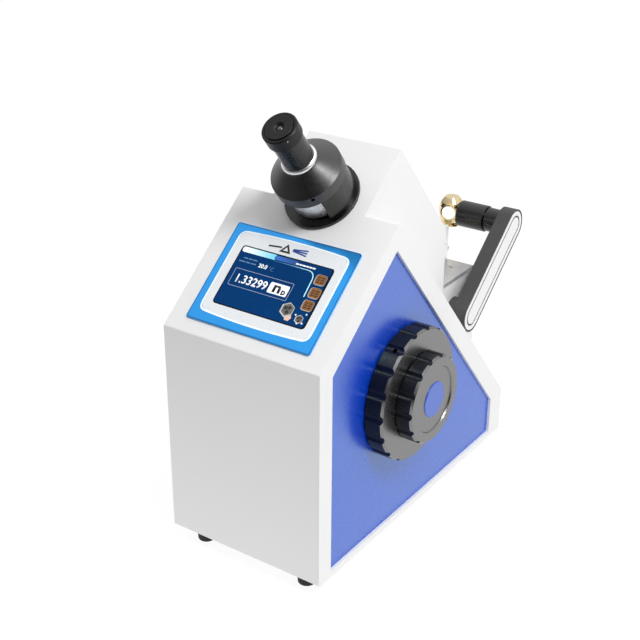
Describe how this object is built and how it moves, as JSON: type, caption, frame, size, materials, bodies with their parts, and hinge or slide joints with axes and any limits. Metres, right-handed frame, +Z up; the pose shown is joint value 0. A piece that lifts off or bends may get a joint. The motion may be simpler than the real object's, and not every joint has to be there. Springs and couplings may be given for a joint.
{
  "type": "digital abbe refractometer",
  "caption": "Bench refractometer with a sloping touch display, an inclined eyepiece, coaxial side knobs, a hinged prism box and a swinging lamp arm.",
  "frame": {"origin": "centre of the overall box, on the surface that the feet stand on", "axes": "+Z up, -Y towards the operator at the display side, +X towards the knob side"},
  "size_m": [0.216, 0.4128, 0.4443],
  "materials": {
    "white_paint": "fine satin powder coat",
    "blue_panel": "glossy royal blue paint",
    "zinc_steel": "zinc plated steel",
    "black_anodised": "satin black anodised",
    "knob_black": "moulded black plastic, semi gloss",
    "cap_blue": "glossy blue insert",
    "bezel_blue": "azure printed overlay",
    "bezel_white": "white printed overlay",
    "screen": "dark touch screen",
    "rubber": "matt black rubber",
    "silver": "bright turned aluminium",
    "cast_grey": "machined light alloy",
    "brass": "polished brass",
    "glass": "optical glass",
    "mirror": "front-silvered mirror",
    "black_plastic": "moulded black plastic",
    "board": "green circuit board",
    "chrome": "polished stainless steel"
  },
  "bodies": {
    "chassis": {"casing": "white_paint", "base_plate": "zinc_steel", "m3_screws": "zinc_steel", "feet": "rubber", "foot_screws": "zinc_steel", "side_panel_right": "blue_panel", "side_panel_left": "blue_panel", "rear_panel": "black_anodised", "power_inlet": "black_plastic", "inlet_pins": "brass", "switch_housing": "black_plastic", "serial_port": "zinc_steel", "display_bezel": "bezel_blue", "display_surround": "bezel_white", "touch_screen": "screen", "lcd_module": "black_plastic", "main_board": "board", "power_supply": "black_plastic", "optical_bench": "cast_grey", "bearings": "chrome", "prism_stage": "cast_grey", "lower_prism_box": "silver", "refracting_prism": "glass", "hose_nipples": "brass", "prism_hinge_pin": "chrome", "telescope_tube": "black_anodised", "objective_lens": "glass", "eyepiece_flange": "black_anodised", "eyepiece_housing": "black_anodised", "eyepiece_hood": "black_anodised", "focus_ring": "silver", "eyepiece_tube": "black_anodised", "gear_housing": "cast_grey", "ring_gear": "brass", "arm_pivot_pin": "chrome"},
    "coarse_drive": {"coarse_knob": "knob_black", "output_shaft": "chrome"},
    "fine_drive": {"fine_knob": "knob_black", "fine_knob_cap": "cap_blue", "fine_shaft": "chrome"},
    "planet_1": {"planet_gear_1": "brass"},
    "planet_2": {"planet_gear_2": "brass"},
    "planet_3": {"planet_gear_3": "brass"},
    "mirror_unit": {"mirror": "mirror", "mirror_shaft": "cast_grey", "sector_gear": "brass"},
    "dispersion_unit": {"dispersion_wheel": "silver", "amici_prism": "glass"},
    "diopter_unit": {"diopter_cap": "black_anodised"},
    "eye_lens_unit": {"eye_lens_cell": "black_anodised", "eye_lens": "glass"},
    "upper_prism": {"upper_prism_box": "silver", "incident_prism": "glass"},
    "prism_lock": {"prism_lock_knob": "black_anodised"},
    "arm_unit": {"lamp_arm": "black_anodised", "arm_cover": "white_paint"},
    "lamp_unit": {"lamp_tube": "black_anodised", "lamp_cell": "brass", "lamp_lens": "glass"},
    "rocker_unit": {"power_rocker": "black_plastic"}
  },
  "joints": [
    {"name": "coarse_turn", "type": "hinge", "parent": "chassis", "child": "coarse_drive", "pos_m": [0.08, -0.0624, 0.1655], "axis": [1, 0, 0], "range_deg": [-110, 110]},
    {"name": "fine_turn", "type": "hinge", "parent": "chassis", "child": "fine_drive", "pos_m": [0.099, -0.0624, 0.1655], "axis": [1, 0, 0], "range_deg": [-450, 450]},
    {"name": "planet_1_spin", "type": "hinge", "parent": "coarse_drive", "child": "planet_1", "pos_m": [0.08, -0.048, 0.1655], "axis": [1, 0, 0], "range_deg": [-335, 335]},
    {"name": "planet_2_spin", "type": "hinge", "parent": "coarse_drive", "child": "planet_2", "pos_m": [0.08, -0.0696, 0.17797], "axis": [1, 0, 0], "range_deg": [-335, 335]},
    {"name": "planet_3_spin", "type": "hinge", "parent": "coarse_drive", "child": "planet_3", "pos_m": [0.08, -0.0696, 0.15303], "axis": [1, 0, 0], "range_deg": [-335, 335]},
    {"name": "mirror_tilt", "type": "hinge", "parent": "chassis", "child": "mirror_unit", "pos_m": [-0.018, 0.02477, 0.2305], "axis": [1, 0, 0], "range_deg": [-10.5, 10.5]},
    {"name": "dispersion_turn", "type": "hinge", "parent": "chassis", "child": "dispersion_unit", "pos_m": [-0.018, -0.08486, 0.36461], "axis": [0, -0.6329, 0.7742], "continuous": true},
    {"name": "diopter_turn", "type": "hinge", "parent": "chassis", "child": "diopter_unit", "pos_m": [-0.018, -0.13802, 0.42964], "axis": [0, -0.6329, 0.7742], "range_deg": [-150, 150]},
    {"name": "eye_lens_slide", "type": "slide", "parent": "chassis", "child": "eye_lens_unit", "axis": [0, -0.6329, 0.7742], "range_m": [-0.0012, 0.0012]},
    {"name": "prism_open", "type": "hinge", "parent": "chassis", "child": "upper_prism", "pos_m": [-0.0455, 0.1136, 0.2392], "axis": [0, -1, 0], "range_deg": [0, 100]},
    {"name": "lock_turn", "type": "hinge", "parent": "upper_prism", "child": "prism_lock", "pos_m": [0.009, 0.0976, 0.25], "axis": [1, 0, 0], "range_deg": [-90, 90]},
    {"name": "arm_swing", "type": "hinge", "parent": "chassis", "child": "arm_unit", "pos_m": [0.052, 0.0986, 0.1801], "axis": [1, 0, 0], "range_deg": [-75, 40]},
    {"name": "lamp_tilt", "type": "hinge", "parent": "arm_unit", "child": "lamp_unit", "pos_m": [0.012, 0.1884, 0.2567], "axis": [1, 0, 0], "range_deg": [-60, 60]},
    {"name": "rocker_tilt", "type": "hinge", "parent": "chassis", "child": "rocker_unit", "pos_m": [-0.026, 0.1576, 0.042], "axis": [1, 0, 0], "range_deg": [0, 16]}
  ],
  "couplings": [
    {"joint": "fine_turn", "follows": "coarse_turn", "ratio": 4},
    {"joint": "planet_1_spin", "follows": "coarse_turn", "ratio": -3},
    {"joint": "planet_2_spin", "follows": "coarse_turn", "ratio": -3},
    {"joint": "planet_3_spin", "follows": "coarse_turn", "ratio": -3},
    {"joint": "mirror_tilt", "follows": "coarse_turn", "ratio": -0.09},
    {"joint": "eye_lens_slide", "follows": "diopter_turn", "m_per_rad": 0.00039789}
  ]
}
